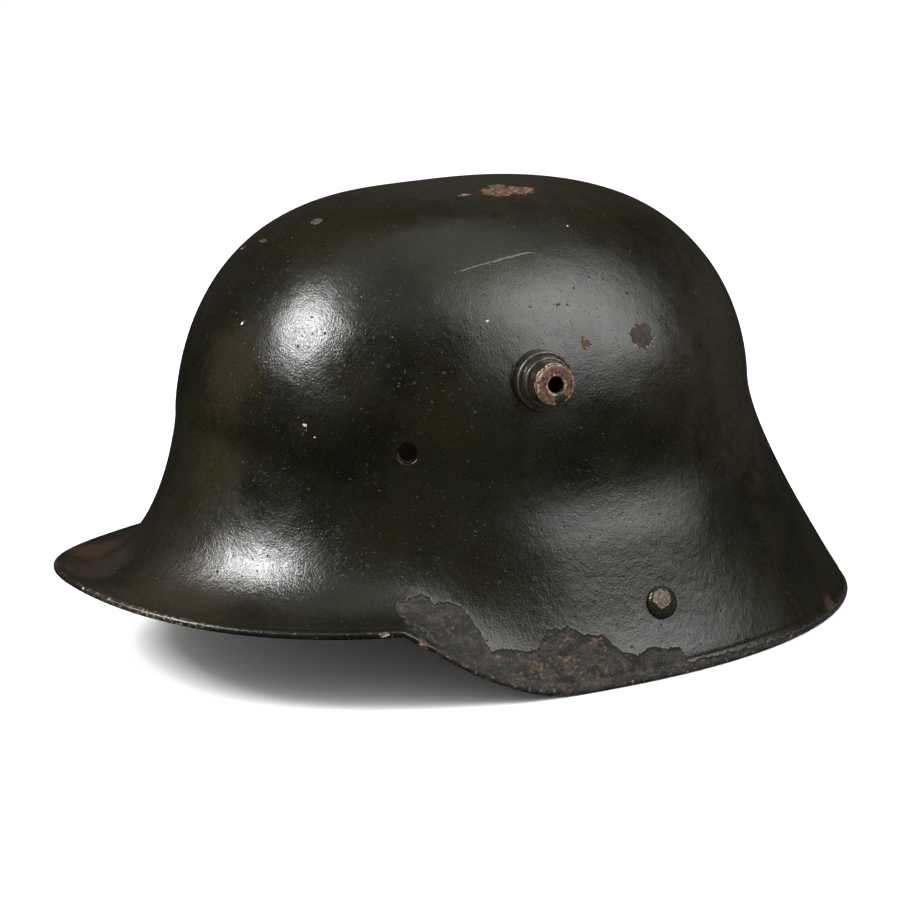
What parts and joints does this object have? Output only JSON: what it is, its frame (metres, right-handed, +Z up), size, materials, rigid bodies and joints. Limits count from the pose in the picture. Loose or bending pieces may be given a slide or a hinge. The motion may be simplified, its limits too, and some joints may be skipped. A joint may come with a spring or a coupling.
{
  "type": "steel combat helmet",
  "caption": "Pressed steel combat helmet with a visor, a flared skirt, stepped vent lugs, a laced leather liner and a swinging chin strap.",
  "frame": {"origin": "on the table, under the middle of the helmet's overall box", "axes": "+Z up through the crown, the visor points to -Y, the wearer's left is +X"},
  "size_m": [0.2432, 0.312, 0.1678],
  "materials": {
    "painted_shell": "old dark olive paint, glossy, chipped to primer and rusted along the rim",
    "painted_lug": "old dark olive paint, worn to primer on the edges",
    "plain_steel": "dull, darkened",
    "liner_leather": "worn, matt",
    "linen": "coarse, aged",
    "strap_leather": "dark, waxed"
  },
  "bodies": {
    "helmet": {"shell": "painted_shell", "left_vent_lug": "painted_lug", "right_vent_lug": "painted_lug", "left_lug_washer": "plain_steel", "right_lug_washer": "plain_steel", "left_strap_rivet": "painted_lug", "right_strap_rivet": "painted_lug", "left_strap_lug": "plain_steel", "right_strap_lug": "plain_steel", "right_liner_pin": "painted_lug", "rear_liner_pin": "painted_lug", "right_pin_washer": "plain_steel", "rear_pin_washer": "plain_steel", "liner_band": "liner_leather", "front_pad": "liner_leather", "left_pad": "liner_leather", "right_pad": "liner_leather", "front_cushion": "linen", "left_cushion": "linen", "right_cushion": "linen", "liner_lace": "linen"},
    "strap": {"chin_strap": "strap_leather", "left_strap_hook": "plain_steel", "right_strap_hook": "plain_steel"},
    "left_slide": {"left_buckle": "plain_steel"},
    "right_slide": {"right_buckle": "plain_steel"}
  },
  "joints": [
    {"name": "chin_strap_swing", "type": "hinge", "parent": "helmet", "child": "strap", "pos_m": [0, 0.02424, 0.02147], "axis": [-1, 0, 0], "range_deg": [0, 115]},
    {"name": "left_buckle_slide", "type": "slide", "parent": "strap", "child": "left_slide", "axis": [0, 0.99, -0.1407], "range_m": [0, 0.011]},
    {"name": "right_buckle_slide", "type": "slide", "parent": "strap", "child": "right_slide", "axis": [0, 0.99, -0.1407], "range_m": [0, 0.011]}
  ]
}
